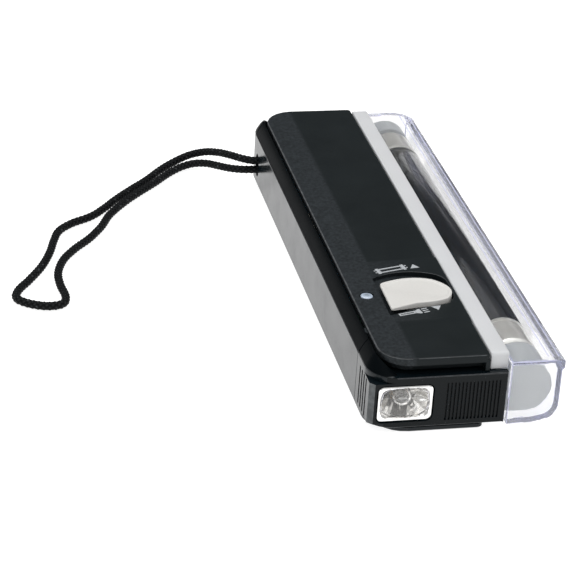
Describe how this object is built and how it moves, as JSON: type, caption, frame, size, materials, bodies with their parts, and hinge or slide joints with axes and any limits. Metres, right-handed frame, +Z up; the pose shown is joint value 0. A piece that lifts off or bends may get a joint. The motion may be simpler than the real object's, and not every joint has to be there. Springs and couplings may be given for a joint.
{
  "type": "counterfeit bill detector",
  "caption": "Hand-held battery blacklight banknote checker: slim black case with a clear-covered lamp along one side, slide switch, end torch and wrist strap.",
  "frame": {"origin": "on the table, under the middle of the case's bounding box without the wrist strap", "axes": "+Z up out of the switch face, +Y along the case from the torch end to the strap end, +X from the plain side to the lamp side"},
  "size_m": [0.1317, 0.1679, 0.0225],
  "materials": {
    "black_case": "satin black moulded ABS",
    "black_cover": "black moulded ABS with a fine spark texture",
    "light_strip": "light grey moulded ABS, satin",
    "grey_socket": "grey moulded plastic, satin",
    "cream_plastic": "off-white moulded ABS, semi-gloss",
    "clear_acrylic": "clear moulded acrylic with bluish edges",
    "blacklight_glass": "blue-black filter glass, polished",
    "bulb_glass": "clear blown glass",
    "bright_sheet": "vacuum-metallised mirror finish",
    "lamp_cap_metal": "drawn aluminium, lightly brushed",
    "brass": "plain brass",
    "sheet_steel": "zinc-plated steel",
    "indicator_epoxy": "milky clear epoxy",
    "green_board": "solder-masked laminate",
    "dark_ferrite": "moulded or sintered black",
    "copper_winding": "enamelled copper wire",
    "capacitor_sleeve": "shrink sleeve, dark blue",
    "resistor_body": "tan lacquer with colour bands",
    "cell_jacket": "plain shrink sleeve with no print",
    "black_braid": "tight nylon braid, matte"
  },
  "bodies": {
    "case": {"body_shell": "black_case", "bulb_base": "brass", "bulb_socket": "cream_plastic", "capacitor_1": "capacitor_sleeve", "capacitor_2": "capacitor_sleeve", "case_screw_1": "sheet_steel", "case_screw_2": "sheet_steel", "case_screw_3": "sheet_steel", "case_screw_4": "sheet_steel", "cell_1": "cell_jacket", "cell_2": "cell_jacket", "cell_3": "cell_jacket", "cell_4": "cell_jacket", "circuit_board": "green_board", "contact_plate_far": "sheet_steel", "contact_plate_near": "sheet_steel", "contact_spring_1": "sheet_steel", "contact_spring_2": "sheet_steel", "drive_transistor": "dark_ferrite", "indicator_led": "indicator_epoxy", "indicator_lens": "indicator_epoxy", "lamp_cap_far": "lamp_cap_metal", "lamp_cap_near": "lamp_cap_metal", "lamp_glass": "blacklight_glass", "lamp_holder_far": "grey_socket", "lamp_holder_near": "grey_socket", "lamp_pin_far_1": "brass", "lamp_pin_far_2": "brass", "lamp_pin_near_1": "brass", "lamp_pin_near_2": "brass", "lamp_reflector": "bright_sheet", "lamp_tray": "light_strip", "resistor_1": "resistor_body", "resistor_2": "resistor_body", "side_rail": "black_case", "slide_switch": "sheet_steel", "strap_cord": "black_braid", "strap_knot": "black_braid", "top_cover": "black_cover", "torch_bulb": "bulb_glass", "transformer_coil": "copper_winding", "transformer_core": "dark_ferrite"},
    "switch": {"switch_knob": "cream_plastic", "switch_slider": "black_case"},
    "door": {"battery_door": "black_case"},
    "clear_cover": {"lamp_cover": "clear_acrylic"},
    "head": {"head_cap": "black_case", "torch_reflector": "bright_sheet", "torch_lens": "clear_acrylic"}
  },
  "joints": [
    {"name": "switch_slide", "type": "slide", "parent": "case", "child": "switch", "axis": [0, 1, 0], "range_m": [0, 0.004]},
    {"name": "door_slide", "type": "slide", "parent": "case", "child": "door", "axis": [0, 1, 0], "range_m": [0, 0.008]},
    {"name": "cover_pull", "type": "slide", "parent": "case", "child": "clear_cover", "axis": [1, 0, 0], "range_m": [0, 0.014]},
    {"name": "head_pull", "type": "slide", "parent": "case", "child": "head", "axis": [0, -1, 0], "range_m": [0, 0.014]}
  ]
}
